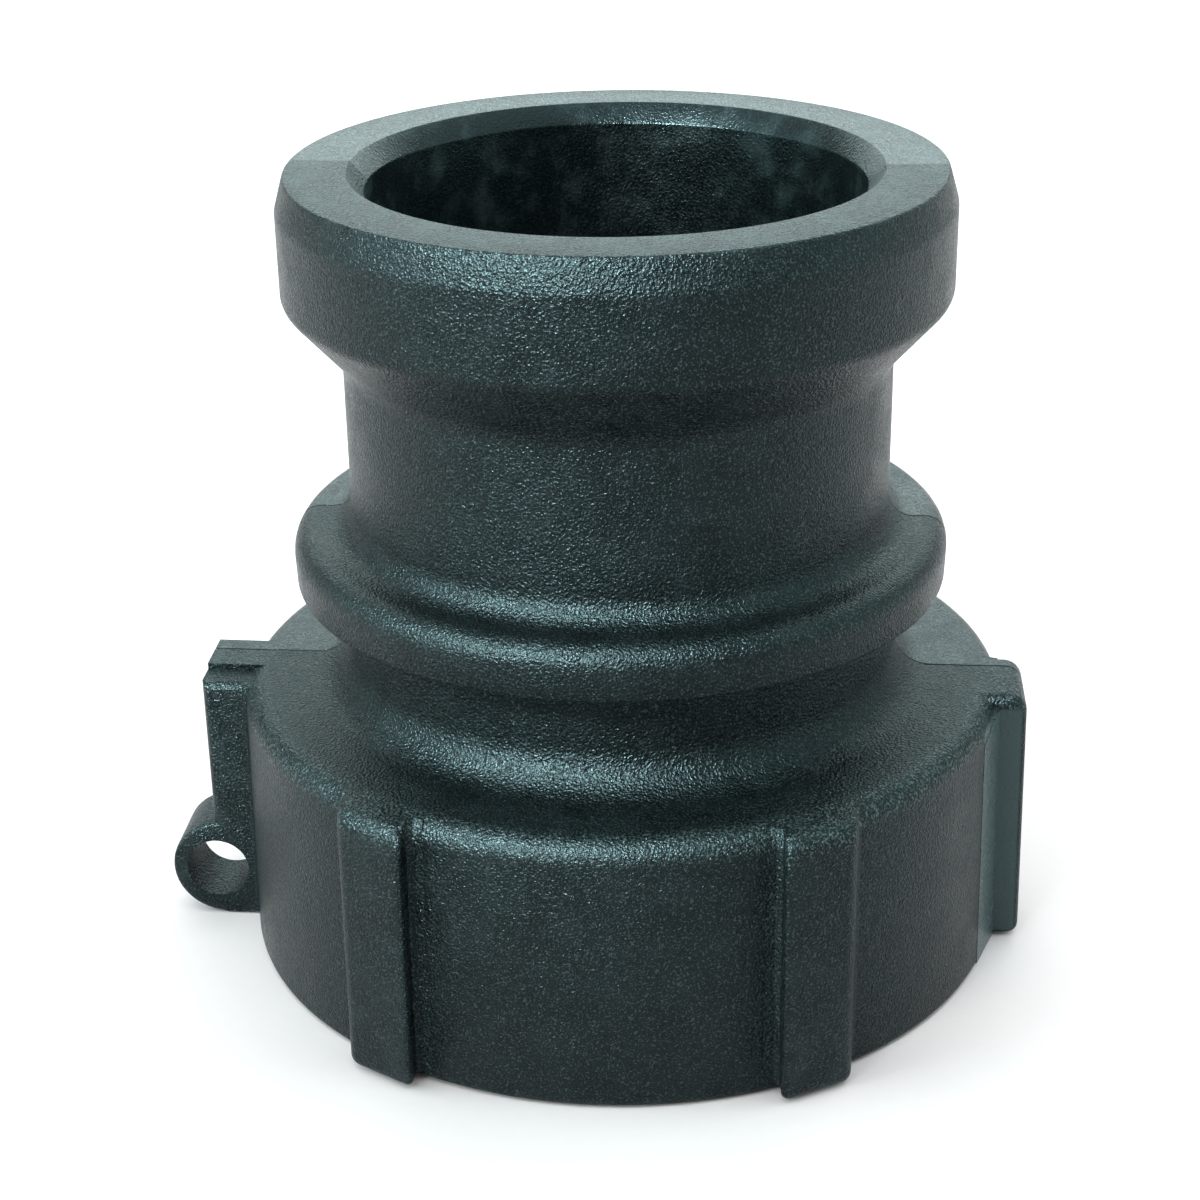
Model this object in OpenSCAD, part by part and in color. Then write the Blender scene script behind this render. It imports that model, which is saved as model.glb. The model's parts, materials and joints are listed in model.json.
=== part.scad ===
// Camlock adapter, 2 inch: a male cam head over a coarse female tank thread,
// with a strap lug on the side of the threaded skirt.
// The origin is the centre of the base face, and +Z points up through the head.
// The mould's parting plane is the XZ plane, and the strap lug points along -X.

/* [Cam head] */
// Height of the whole fitting
height = 77.6; // [76:0.1:80]
// Diameter of the cam head
head_d = 63; // [62.5:0.1:64]
// Diameter of the flat rim on top of the head
rim_d = 61.2; // [60:0.1:61.8]
// Depth of the bevel from the rim to the head's side
bevel_depth = 3.1; // [2:0.1:4]
// Height where the head's straight side ends
head_low = 66.3; // [65:0.1:68]
// Height where the neck starts, below the head's cone
cone_low = 60.2; // [58:0.1:61]
// Diameter of the neck in the cam groove
neck_d = 52.2; // [51:0.1:54]

/* [Collar] */
// Diameter of the collar's lip
collar_d = 63.8; // [62:0.1:65]
// Height of the collar's lower edge
collar_low = 37.8; // [37:0.1:39]
// Height of the collar's flat top
collar_top = 43.0; // [42:0.1:44]
// Diameter of the short neck below the collar
waist_d = 54; // [53:0.1:56]

/* [Threaded skirt] */
// Diameter of the skirt at its base
skirt_d = 76.2; // [75:0.1:78]
// Diameter of the skirt just below the shoulder
skirt_top_d = 75.2; // [74:0.1:76]
// Height of the shoulder on top of the skirt
shoulder = 27; // [26:0.1:28]
// Rounding between the shoulder and the skirt's side
shoulder_round = 2.2; // [1:0.1:3]

/* [Grip ribs] */
// Width of a grip rib
rib_w = 6.4; // [5:0.1:8]
// Distance from the parting plane's normal to the middle of a rib
rib_offset = 20.1; // [19:0.1:21]
// Diameter over the ribs
rib_d = 81; // [80:0.1:82]
// Rounding at the top of a rib
rib_round = 1.8; // [1:0.1:2.5]
// Thickness of the rib that lies on the parting plane
side_rib_w = 8.9; // [7:0.1:10]

/* [Strap lug] */
// Distance from the axis to the lug's outer face
lug_reach = 41.6; // [41:0.1:43]
// Distance the lug and the side rib reach in front of the parting plane
lug_front = 6.9; // [6:0.1:8]
// Distance the lug and the side rib reach behind the parting plane
lug_rear = 2.1; // [1:0.1:3]
// Step from the lug's thick rear layer down to its front pad
pad_step = 0.6; // [0.2:0.1:1]
// Distance the rear layer reaches in front of the parting plane
layer_front = 3.5; // [3:0.1:5]
// Height of the eyelet's centre, which is also the boss's
eyelet_height = 5.2; // [5.2:0.1:6]
// Distance from the axis to the middle of the boss
boss_reach = 41; // [40:0.1:42]
// Radius of the boss around the eyelet
boss_r = 5.2; // [4.8:0.1:5.2]
// Radius of the eyelet
eyelet_r = 3.2; // [2.5:0.1:3.5]
// Distance from the boss's middle out to the eyelet's middle
eyelet_shift = 0.5; // [0:0.1:0.6]

/* [Waterway and tank thread] */
// Diameter of the waterway
bore_d = 46.4; // [45:0.1:47]
// Diameter of the waterway's chamfer on the rim
mouth_d = 49.6; // [49:0.1:51]
// Depth of that chamfer
mouth_depth = 1.8; // [1:0.1:3]
// Diameter of the plain lead-in at the socket's mouth
lead_d = 62.6; // [61.8:0.1:64]
// Depth of the lead-in
lead_depth = 1.6; // [1:0.1:1.8]
// Diameter at the root of the tank thread
root_d = 60.8; // [60:0.1:61.5]
// Diameter over the thread's crests
crest_d = 55.6; // [55.4:0.1:57]
// Pitch of the tank thread
pitch = 6; // [5:0.5:6]
// Height of the first crest above the base
first_crest = 3.6; // [3:0.1:4]
// Number of crests
crests = 3; // [2:1:3]
// Height of the ledge that the gasket seals on
ledge = 21.5; // [20:0.1:22]

/* [Gasket] */
// Outer diameter of the gasket
gasket_d = 55.2; // [54:0.1:55.2]
// Inner diameter of the gasket
gasket_bore_d = 48; // [46.4:0.1:50]
// Thickness of the gasket
gasket_t = 3; // [2:0.1:3]

/* [Hidden] */
$fn = 96;
arc_steps = 6;
over = 1;
seat_gap = 0.02;
small_round = 0.5;
head_round = 1.5;
bevel_round = 1.8;
neck_fillet = 3;
valley_fillet = 2.7;
valley = 0.2;
lip_round = 2.2;
collar_draft = 0.2;
shoulder_fillet = 4;
rib_draft = 0.4;
crest_w = 1.6;
ring_w = 3.2;
load_flank = 0.15;
plastic = [0.13, 0.15, 0.15];
nitrile = [0.05, 0.05, 0.05];

// A corner of a path is [x, y, rounding]; these turn it into points on an arc.
function towards(p, q) = ([q.x, q.y] - [p.x, p.y]) / norm([q.x, q.y] - [p.x, p.y]);
function arc_points(p, u, w, r) =
    let (
        half = acos(u * w) / 2,
        centre = [p.x, p.y] + (u + w) / norm(u + w) * r / sin(half),
        first = [p.x, p.y] + u * r / tan(half) - centre,
        last = [p.x, p.y] + w * r / tan(half) - centre,
        from = atan2(first.y, first.x),
        turn = (atan2(last.y, last.x) - from + 540) % 360 - 180
    )
    [for (i = [0:arc_steps])
        let (a = from + turn * i / arc_steps)
        centre + r * [cos(a), sin(a)]];
function rounded(path) = [
    for (i = [0:len(path) - 1])
        each path[i][2] > 0
            ? arc_points(path[i], towards(path[i], path[i - 1]), towards(path[i], path[i + 1]), path[i][2])
            : [[path[i].x, path[i].y]]
];

// Half section of the turned outside, from the base up to the rim.
outside = [
    [0, 0, 0],
    [skirt_d / 2, 0, small_round],
    [skirt_top_d / 2, shoulder, shoulder_round],
    [waist_d / 2, shoulder, shoulder_fillet],
    [waist_d / 2, collar_low, small_round],
    [collar_d / 2 - collar_draft, collar_low, small_round],
    [collar_d / 2, collar_top + valley, lip_round],
    [neck_d / 2 + neck_fillet, collar_top, 0],
    [neck_d / 2, collar_top, valley_fillet],
    [neck_d / 2, cone_low, neck_fillet],
    [head_d / 2, head_low, head_round],
    [head_d / 2, height - bevel_depth, bevel_round],
    [rim_d / 2, height, 0],
    [0, height, 0]
];

// Half section of everything hollow: tank socket, waterway and the rim's chamfer.
inside = [
    [0, -over],
    [lead_d / 2, -over],
    [lead_d / 2, lead_depth],
    [root_d / 2, lead_depth],
    [root_d / 2, ledge],
    [bore_d / 2, ledge],
    [bore_d / 2, height - mouth_depth],
    [mouth_d / 2, height],
    [mouth_d / 2, height + over],
    [0, height + over]
];

// Half section that limits the ribs and the lug, out to a given radius.
function rib_limit(reach, top) = [
    [0, 0, 0],
    [reach, 0, small_round],
    [reach - rib_draft, top, rib_round],
    [0, top, 0]
];

module turned(path) {
    rotate_extrude() polygon(rounded(path));
}

// A grip rib's plan: straight sides along Y, the way the mould opens.
module rib_plan(x) {
    translate([x - rib_w / 2, skirt_d / 4, 0]) cube([rib_w, rib_d / 2, shoulder]);
}

module grip_ribs() {
    intersection() {
        turned(rib_limit(rib_d / 2, shoulder));
        union() {
            for (turn = [0, 180], side = [-1, 1])
                rotate([0, 0, turn]) rib_plan(side * rib_offset);
            translate([skirt_d / 4, -lug_front, 0])
                cube([rib_d / 2, side_rib_w, shoulder]);
        }
    }
}

// The lug: a front pad, a thicker rear layer flush with the shoulder, and the boss.
module lug_layer(y0, y1, z0, z1) {
    translate([-lug_reach, y0, z0]) cube([lug_reach - skirt_d / 4, y1 - y0, z1 - z0]);
}

module strap_lug() {
    difference() {
        union() {
            lug_layer(-lug_front, -layer_front, 0, shoulder - pad_step);
            lug_layer(-layer_front, 0, 0, shoulder);
            lug_layer(-over, lug_rear, eyelet_height + boss_r, shoulder);
            translate([-boss_reach, 0, eyelet_height]) rotate([90, 0, 0])
                cylinder(h = lug_front, r = boss_r);
        }
        translate([-boss_reach - eyelet_shift, over, eyelet_height]) rotate([90, 0, 0])
            cylinder(h = lug_front + 2 * over, r = eyelet_r);
    }
}

// Buttress crests inside the socket, each with its steep flank towards the ledge.
module thread_crests() {
    for (i = [0:crests - 1])
        translate([0, 0, first_crest + i * pitch]) rotate_extrude() polygon([
            [crest_d / 2, 0],
            [root_d / 2, crest_w - ring_w + load_flank],
            [root_d / 2 + over, crest_w - ring_w + load_flank],
            [root_d / 2 + over, crest_w + load_flank],
            [root_d / 2, crest_w + load_flank],
            [crest_d / 2, crest_w]
        ]);
}

module adapter_body() {
    color(plastic) union() {
        difference() {
            union() {
                turned(outside);
                grip_ribs();
                strap_lug();
            }
            rotate_extrude() polygon(inside);
        }
        thread_crests();
    }
}

module thread_gasket() {
    color(nitrile) translate([0, 0, ledge - seat_gap - gasket_t]) difference() {
        cylinder(h = gasket_t, d = gasket_d);
        translate([0, 0, -over]) cylinder(h = gasket_t + 2 * over, d = gasket_bore_d);
    }
}

adapter_body();
thread_gasket();
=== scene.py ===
# %% [markdown]
# # A moulded camlock adapter
#
# The real part is one injection moulding in black glass-filled polypropylene, with a loose
# rubber gasket in its threaded socket. The solid model gives the sizes and the joint. Here
# both pieces get the shapes and the finish that a mould and a press leave: soft corners,
# fillets, draft, a true screw thread, a parting line and a fine grain.
#
# Everything below is in the solid model's frame: +Z up, origin at the centre of the base,
# the mould's parting plane on XZ. Lengths are written in millimetres and scaled by MM.

# %% Load the solid model
import json
import math

import bmesh
import bpy
from mathutils import Matrix, Vector

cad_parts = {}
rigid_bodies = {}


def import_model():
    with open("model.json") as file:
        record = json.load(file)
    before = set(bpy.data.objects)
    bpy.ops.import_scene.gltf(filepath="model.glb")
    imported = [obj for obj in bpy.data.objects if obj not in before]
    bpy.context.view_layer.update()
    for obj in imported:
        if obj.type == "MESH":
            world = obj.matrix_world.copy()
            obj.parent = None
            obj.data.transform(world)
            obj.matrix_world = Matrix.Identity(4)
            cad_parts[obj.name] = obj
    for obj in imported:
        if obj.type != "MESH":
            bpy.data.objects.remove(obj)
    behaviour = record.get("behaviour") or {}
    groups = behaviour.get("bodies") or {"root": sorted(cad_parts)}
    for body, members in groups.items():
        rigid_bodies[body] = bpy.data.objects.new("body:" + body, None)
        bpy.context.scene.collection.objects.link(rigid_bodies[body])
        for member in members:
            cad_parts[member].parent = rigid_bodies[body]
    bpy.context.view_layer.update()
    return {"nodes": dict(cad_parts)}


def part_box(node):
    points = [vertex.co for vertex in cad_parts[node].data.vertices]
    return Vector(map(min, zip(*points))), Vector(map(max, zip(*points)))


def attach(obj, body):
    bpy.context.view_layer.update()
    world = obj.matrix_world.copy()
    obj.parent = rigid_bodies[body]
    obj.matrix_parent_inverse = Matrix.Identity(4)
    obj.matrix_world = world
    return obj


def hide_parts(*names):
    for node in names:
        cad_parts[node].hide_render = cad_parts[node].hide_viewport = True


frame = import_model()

MM = 0.001
body_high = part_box("adapter_body")[1]
gasket_low, gasket_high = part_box("thread_gasket")
HEIGHT = body_high.z / MM
print("solid model:", sorted(frame["nodes"]), "height", round(HEIGHT, 2), "mm")

# %% [markdown]
# ## The driving sizes
#
# These repeat the solid model's own driving dimensions, so every piece lands where the
# solid is. Whatever can be read from the frame, such as the height and the gasket's
# seat, is read from it.

# %% Driving sizes in millimetres
SHOULDER = 27.0
SKIRT_R, SKIRT_TOP_R = 38.1, 37.6
WAIST_R = 27.0
COLLAR_LOW, COLLAR_TOP, COLLAR_R = 37.8, 43.0, 31.9
NECK_R, CONE_LOW = 26.1, 60.2
HEAD_R, HEAD_LOW, RIM_R, BEVEL = 31.5, 66.3, 30.6, 3.1
BORE_R, MOUTH_R, MOUTH_DEPTH = 23.2, 24.8, 1.8
ROOT_R, CREST_R, PITCH, LEDGE = 30.4, 27.8, 6.0, 21.5
LEAD_R, LEAD_DEPTH = 31.3, 1.6
RIB_X, RIB_W, RIB_REACH = 20.1, 6.4, 40.5
LUG_REACH, LUG_FRONT, LUG_REAR = 41.6, 6.9, 2.1
LAYER_FRONT, PAD_STEP = 3.5, 0.6
BOSS_X, BOSS_R, EYE_Z = -41.0, 5.2, 5.2
EYE_X, EYE_R = -41.5, 3.2
DRAFT = (SKIRT_R - SKIRT_TOP_R) / SHOULDER
TURN_STEPS = 240

# %% [markdown]
# ## Small workshop helpers
#
# Every piece is made with the same few moves: open it for editing, pick some vertices or
# edges by their place, run one tool on them, close it. Picking by place is what makes a
# modelling session repeatable, because no click is involved.

# %% Helpers for editing and picking
def open_piece(piece):
    bpy.ops.object.select_all(action="DESELECT")
    piece.select_set(True)
    bpy.context.view_layer.objects.active = piece
    bpy.ops.object.mode_set(mode="EDIT")


def close_piece():
    bpy.ops.object.mode_set(mode="OBJECT")
    return bpy.context.object


def place(vertex):
    """A vertex's place in millimetres."""
    return vertex.co / MM


def pick(kind, test):
    """Select the open piece's vertices, edges or faces whose corners all pass the test."""
    bpy.ops.mesh.select_mode(type=kind)
    bpy.ops.mesh.select_all(action="DESELECT")
    mesh = bmesh.from_edit_mesh(bpy.context.object.data)
    parts = {"VERT": mesh.verts, "EDGE": mesh.edges, "FACE": mesh.faces}[kind]
    found = 0
    for part in parts:
        corners = [part] if kind == "VERT" else part.verts
        if all(test(place(corner)) for corner in corners):
            part.select_set(True)
            found += 1
    mesh.select_flush_mode()
    bmesh.update_edit_mesh(bpy.context.object.data)
    return found


def near(a, b, gap=0.02):
    return abs(a - b) < gap


def block(name, low, high):
    """A box from its lowest to its highest corner in millimetres, left open for editing."""
    middle = (Vector(low) + Vector(high)) / 2 * MM
    size = (Vector(high) - Vector(low)) * MM
    bpy.ops.object.select_all(action="DESELECT")
    bpy.ops.mesh.primitive_cube_add(size=1, location=middle, scale=size)
    bpy.ops.object.transform_apply(location=True, rotation=True, scale=True)
    bpy.context.object.name = name
    bpy.ops.object.mode_set(mode="EDIT")
    return bpy.context.object


def slice_off(point, normal):
    """Cut the open piece with a plane, drop what lies on the normal's side and close the cut."""
    bpy.ops.mesh.select_all(action="SELECT")
    bpy.ops.mesh.bisect(plane_co=Vector(point) * MM, plane_no=normal, use_fill=True, clear_outer=True)


def round_edges(test, radius, segments):
    """Round the open piece's edges that pass the test."""
    found = pick("EDGE", test)
    if found:
        bpy.ops.mesh.bevel(offset=radius * MM, segments=segments, affect="EDGES")
    return found


def combine(piece, tools, operation):
    """Apply one boolean with all the tools at once, which are then thrown away."""
    tray = bpy.data.collections.new("tools")
    bpy.context.scene.collection.children.link(tray)
    for tool in tools:
        tray.objects.link(tool)
    change = piece.modifiers.new(operation.lower(), "BOOLEAN")
    change.operation = operation
    change.solver = "EXACT"
    change.operand_type = "COLLECTION"
    change.collection = tray
    bpy.ops.object.select_all(action="DESELECT")
    piece.select_set(True)
    bpy.context.view_layer.objects.active = piece
    bpy.ops.object.modifier_apply(modifier=change.name)
    for tool in tools:
        bpy.data.objects.remove(tool)
    bpy.data.collections.remove(tray)
    return piece


# %% [markdown]
# ## The turned body
#
# Head, groove, collar, waist, skirt, bore and socket are all round about one axis, so
# they are one closed half section, spun. The section is drawn like a pencil line: one
# vertex is extruded from corner to corner. Each corner is then rounded with a vertex
# bevel. Its reach along the edges is radius / tan(half the corner's angle), which gives
# the wanted radius at any corner angle. A lathe-like Screw modifier would do the same,
# but the spin leaves plain geometry that the later tools can cut.

# %% Draw an outline and round its corners
def upright(u, v):
    """A section's point in the XZ plane, in millimetres."""
    return Vector((u, 0, v))


def draw_outline(name, corners, lay=upright):
    """A closed wire through corners (u, v, rounding) in millimetres, left open for editing.

    lay turns (u, v) into a place."""
    bpy.ops.object.select_all(action="DESELECT")
    bpy.ops.mesh.primitive_plane_add(size=MM, location=lay(*corners[0][:2]) * MM)
    bpy.ops.object.transform_apply(location=True, rotation=True, scale=True)
    bpy.context.object.name = name
    bpy.ops.object.mode_set(mode="EDIT")
    bpy.ops.mesh.select_mode(type="VERT")
    bpy.ops.mesh.select_all(action="SELECT")
    bpy.ops.mesh.merge(type="CENTER")
    for start, end in zip(corners, corners[1:]):
        step = lay(*end[:2]) - lay(*start[:2])
        bpy.ops.mesh.extrude_region_move(TRANSFORM_OT_translate={"value": step * MM})
    ends = [lay(*corners[0][:2]), lay(*corners[-1][:2])]
    pick("VERT", lambda p: min((p - end).length for end in ends) < 0.02)
    bpy.ops.mesh.edge_face_add()
    for i, (u, v, radius) in enumerate(corners):
        if radius:
            here = lay(u, v)
            back = lay(*corners[i - 1][:2]) - here
            ahead = lay(*corners[(i + 1) % len(corners)][:2]) - here
            reach = radius / math.tan(back.angle(ahead) / 2)
            pick("VERT", lambda p: (p - here).length < 0.02)
            steps = max(3, round(radius * 3))
            bpy.ops.mesh.bevel(offset=reach * MM, segments=steps, affect="VERTICES")
    return bpy.context.object


def spin_section(steps=TURN_STEPS):
    """Spin the open section about the axis and close the piece."""
    bpy.ops.mesh.select_all(action="SELECT")
    bpy.ops.mesh.spin(steps=steps, angle=math.tau, center=(0, 0, 0), axis=(0, 0, 1))
    bpy.ops.mesh.select_all(action="SELECT")
    bpy.ops.mesh.remove_doubles(threshold=0.002 * MM)
    bpy.ops.mesh.normals_make_consistent(inside=False)
    return close_piece()


# %% Spin the adapter's section
BODY_SECTION = [
    (LEAD_R, 0, 0.3),
    (SKIRT_R, 0, 0.5),
    (SKIRT_TOP_R, SHOULDER, 2.2),
    (WAIST_R, SHOULDER, 4.0),
    (WAIST_R, COLLAR_LOW, 0.8),
    (COLLAR_R - 0.2, COLLAR_LOW, 0.4),
    (COLLAR_R, COLLAR_TOP + 0.2, 2.2),
    (NECK_R + 3.0, COLLAR_TOP, 0.8),
    (NECK_R, COLLAR_TOP, 2.5),
    (NECK_R, CONE_LOW, 3.0),
    (HEAD_R, HEAD_LOW, 1.5),
    (HEAD_R, HEIGHT - BEVEL, 1.8),
    (RIM_R, HEIGHT, 0.3),
    (MOUTH_R, HEIGHT, 0.2),
    (BORE_R, HEIGHT - MOUTH_DEPTH, 0.3),
    (BORE_R, LEDGE, 0.4),
    (ROOT_R, LEDGE, 0.5),
    (ROOT_R, LEAD_DEPTH, 0.3),
    (LEAD_R, LEAD_DEPTH, 0.3),
]
draw_outline("adapter_moulding", BODY_SECTION)
moulding = spin_section()
print("turned body:", len(moulding.data.polygons), "faces")

# %% [markdown]
# ## Grip ribs
#
# A rib is a bar whose sides run straight back along Y, because that is how the mould
# halves open, while its outer face lies square to the radius. So each starts as a box
# and two slices give it the slanted face, with draft, and a top that dips just under
# the shoulder at its root. That tiny slope keeps the union clean: two faces in exactly
# one plane are what a boolean handles worst.

# %% Grip ribs
LIFT = 0.02
TOP_SLOPE = 0.012
FLUSH_R = 36.5
RIB_TURN = math.radians(30.2)
RIB_ROOT, RIB_BLANK = 26, 40
TOP_ROUND, FOOT_ROUND, SIDE_ROUND = 1.8, 1.1, 0.8


def shape_rib(facing, sides):
    """Give the open box its slanted outer face and sunk top, then round its edges.

    facing is the outer face's angle about Z; sides says whether a point is on a side."""
    out = Vector((math.cos(facing), math.sin(facing), 0))
    slice_off(out * RIB_REACH, (out.x, out.y, DRAFT))
    slice_off(out * FLUSH_R + Vector((0, 0, SHOULDER)), (-TOP_SLOPE * out.x, -TOP_SLOPE * out.y, 1))

    def outward(p):
        return p.dot(out)

    face = RIB_REACH - 1.2
    round_edges(lambda p: outward(p) > face and p.z > SHOULDER - 1, TOP_ROUND, 6)
    round_edges(lambda p: outward(p) > face and p.z < 1, FOOT_ROUND, 5)
    for side in sides:
        round_edges(side, SIDE_ROUND, 4)
    return close_piece()


def grip_rib(side, half):
    """One of the four ribs beside the Y axis; side is the sign of X and half that of Y."""
    x0, x1 = RIB_X - RIB_W / 2, RIB_X + RIB_W / 2
    low = (min(side * x0, side * x1), min(half * RIB_ROOT, half * RIB_BLANK), LIFT)
    high = (max(side * x0, side * x1), max(half * RIB_ROOT, half * RIB_BLANK), SHOULDER + 0.5)
    block("grip_rib", low, high)
    facing = math.atan2(half * math.cos(RIB_TURN), side * math.sin(RIB_TURN))
    return shape_rib(facing, (lambda p: near(abs(p.x), x0), lambda p: near(abs(p.x), x1)))


additions = [grip_rib(side, half) for half in (-1, 1) for side in (-1, 1)]

SIDE_RIB_FRONT = -LUG_FRONT + 0.1
block("side_rib", (33, SIDE_RIB_FRONT, LIFT), (43, LUG_REAR, SHOULDER + 0.5))
additions.append(shape_rib(0, (lambda p: near(p.y, SIDE_RIB_FRONT), lambda p: near(p.y, LUG_REAR))))
print("ribs:", len(additions))

# %% [markdown]
# ## Strap lug
#
# The lug is one block in three layers: a front pad, a thicker layer behind it that is
# flush with the shoulder, and a short rear layer past the parting plane, which stops
# above the boss so that the eyelet can be drilled straight through. Extruding the
# layers out of one box keeps them one clean shell. The boss is a cylinder with eased
# rims.

# %% Strap lug
LUG_ROOT_X = -31
block("strap_lug", (-LUG_REACH, -LUG_FRONT, LIFT), (LUG_ROOT_X, 0, SHOULDER - PAD_STEP))
bpy.ops.mesh.select_all(action="SELECT")
bpy.ops.mesh.bisect(plane_co=(0, -LAYER_FRONT * MM, 0), plane_no=(0, 1, 0))
pick("FACE", lambda p: near(p.z, SHOULDER - PAD_STEP) and p.y > -LAYER_FRONT - 0.1)
bpy.ops.mesh.extrude_region_move(TRANSFORM_OT_translate={"value": (0, 0, (PAD_STEP + 0.03) * MM)})
bpy.ops.mesh.select_all(action="SELECT")
bpy.ops.mesh.bisect(plane_co=(0, 0, (EYE_Z + BOSS_R) * MM), plane_no=(0, 0, 1))
pick("FACE", lambda p: near(p.y, 0) and p.z > EYE_Z + BOSS_R - 0.1)
bpy.ops.mesh.extrude_region_move(TRANSFORM_OT_translate={"value": (0, LUG_REAR * MM, 0)})
pick("VERT", lambda p: near(p.x, LUG_ROOT_X) and p.z > SHOULDER - 0.1)
bpy.ops.transform.translate(value=(0, 0, -0.1 * MM))
bpy.ops.mesh.select_all(action="SELECT")
bpy.ops.mesh.normals_make_consistent(inside=False)


def pad_edge(p):
    """Whether a place is on the front pad's outer or top edge."""
    return near(p.y, -LUG_FRONT) and (near(p.x, -LUG_REACH) or near(p.z, SHOULDER - PAD_STEP))


round_edges(pad_edge, 0.8, 5)
lug = close_piece()

bpy.ops.mesh.primitive_cylinder_add(
    vertices=72, radius=BOSS_R * MM, depth=(LUG_FRONT + LIFT) * MM,
    location=(BOSS_X * MM, -(LUG_FRONT + 0.04) / 2 * MM, EYE_Z * MM), rotation=(math.pi / 2, 0, 0))
bpy.ops.object.transform_apply(location=True, rotation=True, scale=True)
boss = bpy.context.object
open_piece(boss)
round_edges(lambda p: p.y < -LUG_FRONT + 0.1, 0.35, 3)
close_piece()
combine(lug, [boss], "UNION")

bpy.ops.mesh.primitive_cylinder_add(
    vertices=64, radius=EYE_R * MM, depth=4 * LUG_FRONT * MM,
    location=(EYE_X * MM, 0, EYE_Z * MM), rotation=(math.pi / 2, 0, 0))
bpy.ops.object.transform_apply(location=True, rotation=True, scale=True)
combine(lug, [bpy.context.object], "DIFFERENCE")
additions.append(lug)
print("lug:", len(lug.data.polygons), "faces")

# %% [markdown]
# ## Soft roots
#
# A mould never leaves a sharp inner corner: where a rib leaves the skirt there is a small
# concave fillet. Beveling the cut edges after the union would tear on the skirt's narrow
# facets, so each fillet is its own slim stick. Its outline is the corner between wall and
# skirt, pushed a hair into both, with the corner rounded. It is extruded up the skirt,
# spun over the shoulder's rounding and sliced level with the rib's top. It starts just
# under a millimetre up, clear of the ribs' rounded feet.

# %% Root fillets
SHOULDER_ROUND = 2.2
SINK = 0.03
FILLET_LOW = 0.9


def root_fillet(wall, facing, heading, low=FILLET_LOW, top=SHOULDER - 0.13, radius=0.9):
    """A fillet at the root of a bar that leaves the skirt towards the heading (degrees).

    The stick is drawn for a bar that points towards -Y, with its wall at X = wall and
    facing the sign of X, and is then turned into place."""
    def skirt_corner(z):
        r = SKIRT_R - DRAFT * z
        return Vector((wall, -math.sqrt(r * r - wall * wall), 0))

    corner = skirt_corner(low)
    into_skirt = -corner.normalized()
    into_wall = Vector((-facing, 0, 0))
    along_skirt = facing * Vector((-corner.y, corner.x, 0)).normalized()
    along_wall = Vector((0, -1, 0))
    reach = 1.05 * radius / math.tan(along_skirt.angle(along_wall) / 2)
    sunk = corner + SINK * into_skirt + SINK * into_wall
    outline = [sunk + reach * along_wall, sunk, sunk + reach * along_skirt,
               sunk + reach * along_skirt + into_skirt, sunk + into_skirt + into_wall,
               sunk + reach * along_wall + into_wall]
    roundings = [0, radius, 0, 0, 0, 0]
    draw_outline("root_fillet", [(p.x, p.y, r) for p, r in zip(outline, roundings)],
                 lay=lambda u, v: Vector((u, v, low)))
    bpy.ops.mesh.select_all(action="SELECT")
    bpy.ops.mesh.edge_face_add()
    bend = SHOULDER - SHOULDER_ROUND
    lean = skirt_corner(bend) - corner
    bpy.ops.mesh.extrude_region_move(TRANSFORM_OT_translate={"value": (0, lean.y * MM, (bend - low) * MM)})
    inner = SKIRT_R - DRAFT * bend - SHOULDER_ROUND
    centre_y = -math.sqrt(inner * inner - wall * wall)
    squash = SHOULDER_ROUND / (centre_y - skirt_corner(bend).y)
    bpy.ops.mesh.spin(steps=7, angle=math.radians(76), center=(0, centre_y * MM, bend * MM), axis=(1, 0, 0))
    pick("VERT", lambda p: p.z > bend + 0.001)
    bpy.ops.transform.resize(value=(1, 1, squash), center_override=(0, 0, bend * MM))
    slice_off((0, 0, top), (0, 0, 1))
    bpy.ops.mesh.select_all(action="SELECT")
    bpy.ops.mesh.remove_doubles(threshold=0.002 * MM)
    bpy.ops.mesh.normals_make_consistent(inside=False)
    bpy.ops.transform.rotate(value=-math.radians(heading + 90), orient_axis="Z", center_override=(0, 0, 0))
    return close_piece()


RIB_INNER, RIB_OUTER = 16.9, 23.3
RIB_WALLS = ((RIB_INNER, -1, 1.1), (RIB_OUTER, 1, 1.6), (-RIB_INNER, 1, 1.1), (-RIB_OUTER, -1, 1.6))
for heading in (-90, 90):
    for wall, facing, radius in RIB_WALLS:
        additions.append(root_fillet(wall, facing, heading, radius=radius))
additions.append(root_fillet(LUG_REAR, 1, 0))
additions.append(root_fillet(LUG_FRONT, 1, 180, top=SHOULDER - PAD_STEP - 0.1))
additions.append(root_fillet(-LUG_REAR, -1, 180, low=EYE_Z + BOSS_R + 0.1))
print("pieces to weld on:", len(additions))

# %% [markdown]
# ## Flat panel beside the right rib
#
# Between the skirt and the right rib the mould has a separate flat insert. It leaves a
# flat panel that starts tangent to the skirt and stands a little proud at the rib, with a
# fine witness groove along its edge. The panel is a block with three slices. The two
# grooves are slim blocks that are cut out.

# %% Flat panel and its witness groove
PANEL_TURN = math.radians(-19)
PANEL_OUT = Vector((math.cos(PANEL_TURN), math.sin(PANEL_TURN), 0))
PANEL_ALONG = Vector((-PANEL_OUT.y, PANEL_OUT.x, 0))
PANEL_START = PANEL_OUT * SKIRT_R
PANEL_TOP, PANEL_RISE, PANEL_WIDE = 24.4, 0.25, 4.0
GROOVE = 0.24
level = PANEL_START + Vector((0, 0, PANEL_TOP))
rising = Vector((0, 0, 1)) - PANEL_RISE * PANEL_ALONG
lean_out = PANEL_OUT + Vector((0, 0, DRAFT))

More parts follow.
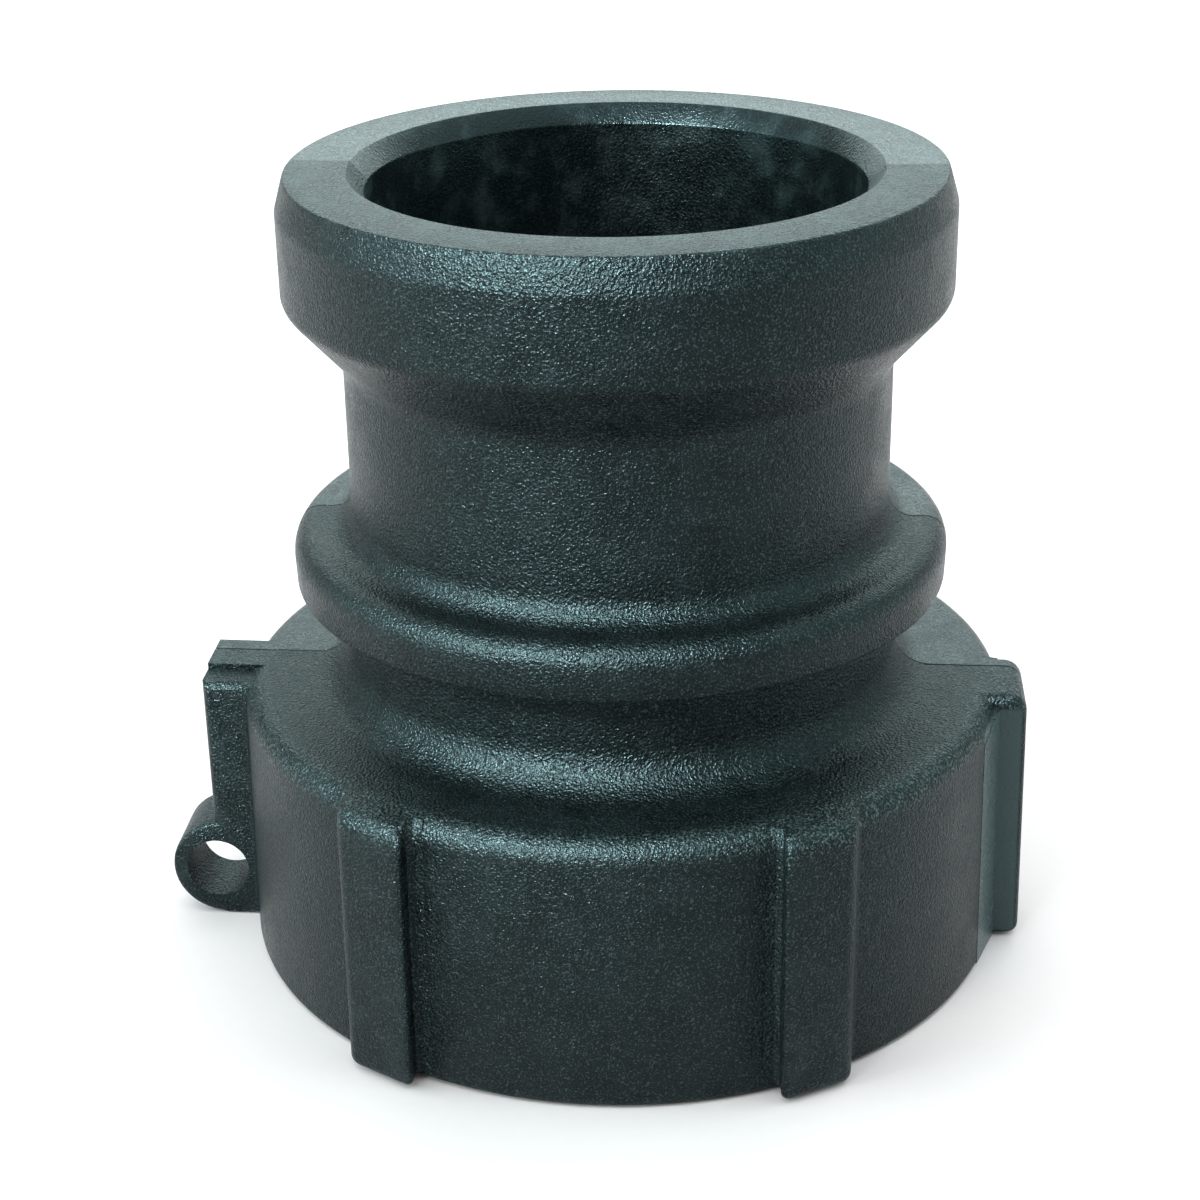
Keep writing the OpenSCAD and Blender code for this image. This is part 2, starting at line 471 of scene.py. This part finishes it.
block("flat_panel", (33, -15, LIFT), (40, -6, SHOULDER))
slice_off(PANEL_START, lean_out)
slice_off(PANEL_START, -PANEL_ALONG)
slice_off(level, rising)
additions.append(close_piece())


def panel_groove(sides):
    """A slim cutter along the panel, bounded by planes (place, normal)."""
    block("panel_groove", (33, -15, -1), (41, -5, SHOULDER + 1))
    for point, normal in sides:
        slice_off(point, normal)
    return close_piece()


half_groove = PANEL_ALONG * GROOVE / 2
cuts = [
    panel_groove([
        (PANEL_START - PANEL_OUT * GROOVE, -lean_out), (PANEL_START + half_groove, PANEL_ALONG),
        (PANEL_START - half_groove, -PANEL_ALONG), (level, rising)]),
    panel_groove([
        (PANEL_START - PANEL_OUT * GROOVE, -lean_out), (level + Vector((0, 0, GROOVE / 2)), rising),
        (level - Vector((0, 0, GROOVE / 2)), -rising), (PANEL_START - half_groove, -PANEL_ALONG),
        (PANEL_START + PANEL_ALONG * PANEL_WIDE, PANEL_ALONG)]),
]
print("panel and", len(cuts), "groove cutters")

# %% [markdown]
# ## Tank thread
#
# The socket's thread is a coarse right-handed buttress. A Screw modifier sweeps the
# tooth's outline about the axis and lifts it one pitch a turn, which is the one tool in
# Blender that makes a true helix. The tooth's foot is sunk in the socket's wall, and both
# ends are capped flat.

# %% Tank thread
THREAD_LOW, THREAD_TURNS = 1.9, 2.05
THREAD_STEPS = 400
TOOTH = [
    (ROOT_R + 0.6, THREAD_LOW, 0),
    (CREST_R, THREAD_LOW + 1.4, 0.3),
    (CREST_R, THREAD_LOW + 3.0, 0.3),
    (ROOT_R + 0.6, THREAD_LOW + 3.2, 0),
]
draw_outline("tank_thread", TOOTH)
thread = close_piece()
sweep = thread.modifiers.new("helix", "SCREW")
sweep.angle = math.tau * THREAD_TURNS
sweep.screw_offset = PITCH * THREAD_TURNS * MM
sweep.steps = sweep.render_steps = THREAD_STEPS
sweep.use_smooth_shade = False
bpy.ops.object.modifier_apply(modifier=sweep.name)
open_piece(thread)
for end in (0, 1):
    turn = math.tau * THREAD_TURNS * end
    low = THREAD_LOW + PITCH * THREAD_TURNS * end
    outward = Vector((math.cos(turn), math.sin(turn), 0))
    around = Vector((-outward.y, outward.x, 0))
    rim = pick("EDGE", lambda p: near(p.dot(around), 0) and p.dot(outward) > 0
               and low - 0.1 < p.z < low + 3.3)
    bpy.ops.mesh.edge_face_add()
    print("thread end", end, "capped over", rim, "edges")
bpy.ops.mesh.select_all(action="SELECT")
bpy.ops.mesh.normals_make_consistent(inside=False)
close_piece()
additions.append(thread)
print("thread:", len(thread.data.polygons), "faces")

# %% [markdown]
# ## Weld it into one moulding
#
# All the additions are welded on in one exact boolean, and the grooves are cut in a second.
# One step is cleaner than a chain: each boolean rounds its result a little, and a long
# chain of them ends in slivers.

# %% Weld and cut
combine(moulding, additions, "UNION")
open_piece(moulding)
bpy.ops.mesh.select_all(action="SELECT")
bpy.ops.mesh.remove_doubles(threshold=0.001 * MM)
close_piece()
combine(moulding, cuts, "DIFFERENCE")
print("one moulding:", len(moulding.data.polygons), "faces")

# %% [markdown]
# ## Parting line
#
# The two mould halves meet on the XZ plane and leave a hairline over every outer surface,
# but not in the bore or the socket, which a core forms. A bisect draws the line as edges.
# A narrow bevel gives it two banks, and the middle edge is then pushed in by a tenth of a
# millimetre.

# %% Parting line
PART_HALF, PART_DEEP = 0.13, 0.11


def on_parting_line(p):
    """Whether a place on the parting plane lies on an outer surface."""
    shell = abs(p.x) > 25.5 and 0.3 < p.z < HEIGHT - 0.4
    socket = p.z < LEDGE + 2 and abs(p.x) < 34
    under_lug = p.x < -36 and p.z < EYE_Z + BOSS_R + 0.4
    return abs(p.y) < 0.003 and shell and not socket and not under_lug


open_piece(moulding)
bpy.ops.mesh.select_all(action="SELECT")
bpy.ops.mesh.bisect(plane_co=(0, 0, 0), plane_no=(0, 1, 0))
parted = round_edges(on_parting_line, PART_HALF, 2)
pick("VERT", on_parting_line)
bpy.ops.transform.shrink_fatten(value=-PART_DEEP * MM)
close_piece()
print("parting line over", parted, "edges")

# %% Finish the moulding's shading
bpy.ops.object.select_all(action="DESELECT")
moulding.select_set(True)
bpy.context.view_layer.objects.active = moulding
bpy.ops.object.shade_smooth_by_angle(angle=math.radians(32))
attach(moulding, "adapter")
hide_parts("adapter_body")

# %% [markdown]
# ## Thread gasket
#
# The gasket is a flat moulded rubber ring with eased edges and a faint mould line around
# its outer wall. It is spun from its own small section.

# %% Thread gasket
GASKET_LOW, GASKET_TOP = gasket_low.z / MM, gasket_high.z / MM
GASKET_R, GASKET_BORE_R = gasket_high.x / MM, 24.0
middle = (GASKET_LOW + GASKET_TOP) / 2
draw_outline("gasket_ring", [
    (GASKET_BORE_R, GASKET_LOW, 0.35),
    (GASKET_R - 0.06, GASKET_LOW, 0.35),
    (GASKET_R - 0.06, middle - 0.12, 0),
    (GASKET_R, middle, 0),
    (GASKET_R - 0.06, middle + 0.12, 0),
    (GASKET_R - 0.06, GASKET_TOP, 0.35),
    (GASKET_BORE_R, GASKET_TOP, 0.35),
])
gasket = spin_section(192)
bpy.ops.object.shade_smooth_by_angle(angle=math.radians(40))
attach(gasket, "gasket")
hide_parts("thread_gasket")
print("gasket:", len(gasket.data.polygons), "faces")

# %% [markdown]
# ## Moulded plastic
#
# Glass-filled polypropylene is nearly black with a cold cast. Spark-eroded mould cavities
# give it a fine pebbled grain of about a third of a millimetre, and single grains get pale
# specks in the colour, which are painted glints. The two mould halves differ: the front half
# is dark and grainy, the rear half smoother, with a paler colour that is painted sheen. All
# of this is read from Object coordinates, so the finish sits still when the part is turned or
# exported. Where parts rub, at the rim, the foot and the outer faces of the ribs, the grain is polished
# paler.

# %% Node helpers
def new_material(name):
    material = bpy.data.materials.new(name)
    material.use_nodes = True
    nodes = material.node_tree.nodes
    return material, nodes, material.node_tree.links, nodes["Principled BSDF"]


def node(nodes, kind, inputs=None, **settings):
    made = nodes.new(kind)
    for key, value in settings.items():
        setattr(made, key, value)
    for key, value in (inputs or {}).items():
        made.inputs[key].default_value = value
    return made


def noise(nodes, links, coords, scale, detail=2.0, roughness=0.5):
    made = node(nodes, "ShaderNodeTexNoise", {"Scale": scale, "Detail": detail, "Roughness": roughness})
    links.new(coords, made.inputs["Vector"])
    return made.outputs["Fac"]


def span(nodes, links, value, low, high, to_low=0.0, to_high=1.0):
    """Map a value's span low..high onto to_low..to_high, smoothly."""
    limits = {"From Min": low, "From Max": high, "To Min": to_low, "To Max": to_high}
    made = node(nodes, "ShaderNodeMapRange", limits, interpolation_type="SMOOTHSTEP")
    links.new(value, made.inputs["Value"])
    return made.outputs["Result"]


def maths(nodes, links, operation, a, b):
    made = node(nodes, "ShaderNodeMath", operation=operation)
    for socket, value in zip(made.inputs, (a, b)):
        if isinstance(value, (int, float)):
            socket.default_value = value
        else:
            links.new(value, socket)
    return made.outputs["Value"]


def blend(nodes, links, factor, a, b, mode="MIX"):
    """Mix two colours; a colour may be a socket or four numbers."""
    made = node(nodes, "ShaderNodeMix", data_type="RGBA", blend_type=mode)
    for socket, value in ((made.inputs[0], factor), (made.inputs[6], a), (made.inputs[7], b)):
        if isinstance(value, (int, float, tuple)):
            socket.default_value = value
        else:
            links.new(value, socket)
    return made.outputs[2]


# %% Plastic: places on the part
plastic, nodes, links, shader = new_material("moulded_plastic_black")
coords = node(nodes, "ShaderNodeTexCoord").outputs["Object"]
axes = node(nodes, "ShaderNodeSeparateXYZ")
links.new(coords, axes.inputs["Vector"])
across, height = axes.outputs["Y"], axes.outputs["Z"]
flat = node(nodes, "ShaderNodeVectorMath", operation="MULTIPLY")
flat.inputs[1].default_value = (1, 1, 0)
links.new(coords, flat.inputs[0])
girth = node(nodes, "ShaderNodeVectorMath", operation="LENGTH")
links.new(flat.outputs["Vector"], girth.inputs[0])
radius_out = girth.outputs["Value"]

rear_half = span(nodes, links, across, -0.15 * MM, 0.15 * MM)
rim_band = span(nodes, links, height, (HEIGHT - 0.5) * MM, (HEIGHT - 0.05) * MM)
foot_band = span(nodes, links, height, 0.9 * MM, 0.1 * MM)
rib_band = span(nodes, links, radius_out, 40.2 * MM, 40.8 * MM)
inside = span(nodes, links, radius_out, 25.2 * MM, 24.2 * MM)
panel = maths(nodes, links, "MULTIPLY", span(nodes, links, across, -12.5 * MM, -12.3 * MM),
              span(nodes, links, across, -6.6 * MM, -6.8 * MM))
panel = maths(nodes, links, "MULTIPLY", panel, span(nodes, links, axes.outputs["X"], 35.4 * MM, 35.7 * MM))
panel = maths(nodes, links, "MULTIPLY", panel, span(nodes, links, height, 25.8 * MM, 25.4 * MM))
# The smooth rear half and the flat panel: really smoother, and also painted paler below as painted sheen.
smooth_skin_and_sheen = maths(nodes, links, "MAXIMUM", rear_half, panel)

# %% Plastic: grain, mottle and painted glints
pebbles = noise(nodes, links, coords, 3900, 1.5, 0.6)
coarse = noise(nodes, links, coords, 1900, 2.0, 0.5)
mottle = noise(nodes, links, coords, 260, 4.0, 0.6)
clouds = noise(nodes, links, coords, 45, 3.0, 0.5)
specks = noise(nodes, links, coords, 5600, 0.0, 0.5)
painted_glints = maths(nodes, links, "MULTIPLY", span(nodes, links, specks, 0.60, 0.72),
               span(nodes, links, smooth_skin_and_sheen, 0, 1, 1.0, 0.25))
grain = maths(nodes, links, "ADD", maths(nodes, links, "MULTIPLY", pebbles, 0.9),
              maths(nodes, links, "MULTIPLY", coarse, 0.18))

# %% Plastic: colour
# Dark grain valleys and plain skin. The smoother rear half and the flat panel are painted paler, a painted
# sheen, and pale specks are painted glints.
# The shoulder's edge gets pale speckles, partly wear and partly painted highlight, and the parting line's
# groove gets painted shade.
DEEP, PLAIN, PALE = (0.0008, 0.0014, 0.0016, 1), (0.0036, 0.0060, 0.0068, 1), (0.009, 0.0145, 0.0155, 1)
tone = blend(nodes, links, span(nodes, links, grain, 0.42, 0.80), DEEP, PLAIN)
tone = blend(nodes, links, span(nodes, links, mottle, 0.35, 0.7, 0, 0.35), tone, PALE)
# Painted sheen: the smoother rear half and the flat panel get a paler colour.
tone = blend(nodes, links, maths(nodes, links, "MULTIPLY", smooth_skin_and_sheen, 0.45), tone, PALE)
tone = blend(nodes, links, span(nodes, links, clouds, 0.4, 0.75, 0, 0.3), tone, DEEP)
rub = maths(nodes, links, "MAXIMUM", maths(nodes, links, "MAXIMUM", rim_band, foot_band), rib_band)
rub = maths(nodes, links, "MULTIPLY", rub, span(nodes, links, mottle, 0.42, 0.66, 0, 0.55))
tone = blend(nodes, links, rub, tone, (0.030, 0.044, 0.046, 1))
# Pale specks in the colour: painted glints, painted highlights on single grains.
tone = blend(nodes, links, maths(nodes, links, "MULTIPLY", painted_glints, 0.5), tone, (0.075, 0.10, 0.104, 1))
# The shoulder's outer edge gets pale speckles: partly wear, partly a painted highlight where its rounding
# catches the light.
edge = maths(nodes, links, "MULTIPLY", span(nodes, links, radius_out, 34.8 * MM, 36.0 * MM),
             span(nodes, links, height, 24.4 * MM, 25.6 * MM))
edge = maths(nodes, links, "MULTIPLY", edge, span(nodes, links, smooth_skin_and_sheen, 0, 1, 1, 0))
painted_edge_glitter = maths(nodes, links, "MULTIPLY", edge, span(nodes, links, pebbles, 0.54, 0.64, 0, 0.8))
tone = blend(nodes, links, painted_edge_glitter, tone, (0.095, 0.125, 0.125, 1))
# The flat panel gets a paler colour: painted highlight where it faces the lamps.
tone = blend(nodes, links, maths(nodes, links, "MULTIPLY", panel, 0.9), tone, (0.062, 0.086, 0.088, 1))
bloom = maths(nodes, links, "MULTIPLY", inside, span(nodes, links, mottle, 0.48, 0.74, 0, 0.6))
tone = blend(nodes, links, bloom, tone, (0.046, 0.064, 0.066, 1))
# The parting line's groove is painted darker: painted shade in the crease.
off_plane = maths(nodes, links, "ABSOLUTE", across, 0)
painted_seam_shade = maths(nodes, links, "MULTIPLY", span(nodes, links, off_plane, 0.16 * MM, 0.06 * MM),
             maths(nodes, links, "SUBTRACT", 1.0, inside))
tone = blend(nodes, links, maths(nodes, links, "MULTIPLY", painted_seam_shade, 0.85), tone, (0.001, 0.0015, 0.0015, 1))
links.new(tone, shader.inputs["Base Color"])

# %% Plastic: gloss and relief
gloss = maths(nodes, links, "ADD", span(nodes, links, mottle, 0.3, 0.7, 0.31, 0.41),
              maths(nodes, links, "MULTIPLY", rear_half, -0.05))
gloss = maths(nodes, links, "SUBTRACT", gloss, maths(nodes, links, "MULTIPLY", panel, 0.16))
gloss = maths(nodes, links, "ADD", gloss, span(nodes, links, pebbles, 0.3, 0.7, 0.08, -0.08))
gloss = maths(nodes, links, "SUBTRACT", gloss, maths(nodes, links, "MULTIPLY", rub, 0.12))
links.new(gloss, shader.inputs["Roughness"])
shader.inputs["IOR"].default_value = 1.49
shader.inputs["Specular IOR Level"].default_value = 0.19
shader.inputs["Specular Tint"].default_value = (0.62, 0.92, 0.98, 1)
relief = maths(nodes, links, "MULTIPLY", grain, span(nodes, links, smooth_skin_and_sheen, 0, 1, 1.0, 0.4))
bump = node(nodes, "ShaderNodeBump", {"Strength": 1.0, "Distance": 0.21 * MM})
links.new(relief, bump.inputs["Height"])
wave = node(nodes, "ShaderNodeBump", {"Strength": 0.35, "Distance": 0.25 * MM})
links.new(clouds, wave.inputs["Height"])
links.new(wave.outputs["Normal"], bump.inputs["Normal"])
links.new(bump.outputs["Normal"], shader.inputs["Normal"])
moulding.data.materials.clear()
moulding.data.materials.append(plastic)
print("plastic:", len(nodes), "nodes")

# %% [markdown]
# ## Gasket rubber
#
# Nitrile rubber is softer to the eye than the plastic: matt, warm black, with a little
# grey bloom and a fine grain.

# %% Rubber
rubber, nodes, links, shader = new_material("gasket_rubber_black")
coords = node(nodes, "ShaderNodeTexCoord").outputs["Object"]
fine = noise(nodes, links, coords, 3200, 2.0, 0.6)
bloom = noise(nodes, links, coords, 140, 4.0, 0.6)
tone = blend(nodes, links, span(nodes, links, bloom, 0.4, 0.72),
             (0.012, 0.012, 0.012, 1), (0.040, 0.040, 0.038, 1))
tone = blend(nodes, links, span(nodes, links, fine, 0.5, 0.8, 0, 0.4), tone, (0.02, 0.02, 0.021, 1))
links.new(tone, shader.inputs["Base Color"])
links.new(span(nodes, links, bloom, 0.3, 0.7, 0.62, 0.8), shader.inputs["Roughness"])
bump = node(nodes, "ShaderNodeBump", {"Strength": 0.4, "Distance": 0.03 * MM})
links.new(fine, bump.inputs["Height"])
links.new(bump.outputs["Normal"], shader.inputs["Normal"])
gasket.data.materials.clear()
gasket.data.materials.append(rubber)
print("rubber:", len(nodes), "nodes")

# %% [markdown]
# ## Floor and light
#
# A pale sweep of floor, a broad soft box overhead and behind, and one at each side. There
# is none in front, so the sides and tops, which face the boxes, come out pale, and the
# front stays dark. One small lamp at the front left only makes highlights.

# %% Floor
bpy.ops.object.select_all(action="DESELECT")
bpy.ops.mesh.primitive_plane_add(size=8, location=(0, 2, -0.0002))
floor = bpy.context.object
floor.name = "studio_floor"
paper, nodes, links, shader = new_material("floor_paper")
coords = node(nodes, "ShaderNodeTexCoord").outputs["Object"]
fibre = noise(nodes, links, coords, 900, 3.0, 0.6)
tone = blend(nodes, links, fibre, (0.93, 0.77, 0.77, 1), (0.96, 0.80, 0.80, 1))
links.new(tone, shader.inputs["Base Color"])
shader.inputs["Roughness"].default_value = 0.9
floor.data.materials.append(paper)


# %% Soft boxes
def soft_box(name, position, aim, size, watts, tint=(0.82, 1.0, 1.0)):
    data = bpy.data.lights.new(name, "AREA")
    data.shape = "RECTANGLE"
    data.size, data.size_y = size
    data.energy = watts
    data.color = tint
    lamp = bpy.data.objects.new(name, data)
    bpy.context.scene.collection.objects.link(lamp)
    lamp.location = position
    lamp.rotation_euler = (Vector(aim) - Vector(position)).to_track_quat("-Z", "Y").to_euler()
    return lamp


soft_box("overhead", (0, 0.1, 1.15), (0, 0, 0.05), (1.9, 1.4), 18)
soft_box("back", (0, 1.3, 0.65), (0, 0, 0.05), (2.0, 0.8), 18)
soft_box("left", (-0.92, -0.18, 0.42), (0, 0, 0.04), (0.9, 0.8), 8.5, (0.72, 1.0, 1.0))
soft_box("right", (0.95, 0.02, 0.42), (0, 0, 0.04), (0.9, 0.8), 5.5, (0.72, 1.0, 1.0))
sparkle = soft_box("front_left", (-0.38, -0.70, 0.68), (0, 0, 0.05), (0.2, 0.2), 88, (0.92, 1.0, 1.0))
sparkle.visible_diffuse = False

world = bpy.data.worlds.new("studio")
bpy.context.scene.world = world
world.use_nodes = True
world.node_tree.nodes["Background"].inputs["Color"].default_value = (1, 1, 1, 1)
world.node_tree.nodes["Background"].inputs["Strength"].default_value = 0.20
bpy.context.scene.view_settings.view_transform = "Standard"

# %% [markdown]
# ## Camera
#
# A product lens a short way in front of the part, looking down at it and a little to the
# left. Its turn is built from the viewing direction, then rolled by a degree.

# %% Camera
HEADING, TILT, ROLL = math.radians(-5.05), math.radians(24.44), math.radians(-0.92)
forward = Vector((math.sin(HEADING) * math.cos(TILT), math.cos(HEADING) * math.cos(TILT), -math.sin(TILT)))
level_right = Vector((math.cos(HEADING), -math.sin(HEADING), 0))
level_up = level_right.cross(forward)
right = math.cos(ROLL) * level_right + math.sin(ROLL) * level_up
up = -math.sin(ROLL) * level_right + math.cos(ROLL) * level_up
lens = bpy.data.cameras.new("camera")
lens.lens, lens.sensor_width = 71.88, 36
camera = bpy.data.objects.new("camera", lens)
bpy.context.scene.collection.objects.link(camera)
turned = Matrix((right, up, -forward)).transposed().to_4x4()
camera.matrix_world = Matrix.Translation(Vector((17.06, -216.79, 132.22)) * MM) @ turned
bpy.context.scene.camera = camera
print("camera at", [round(c, 3) for c in camera.location])
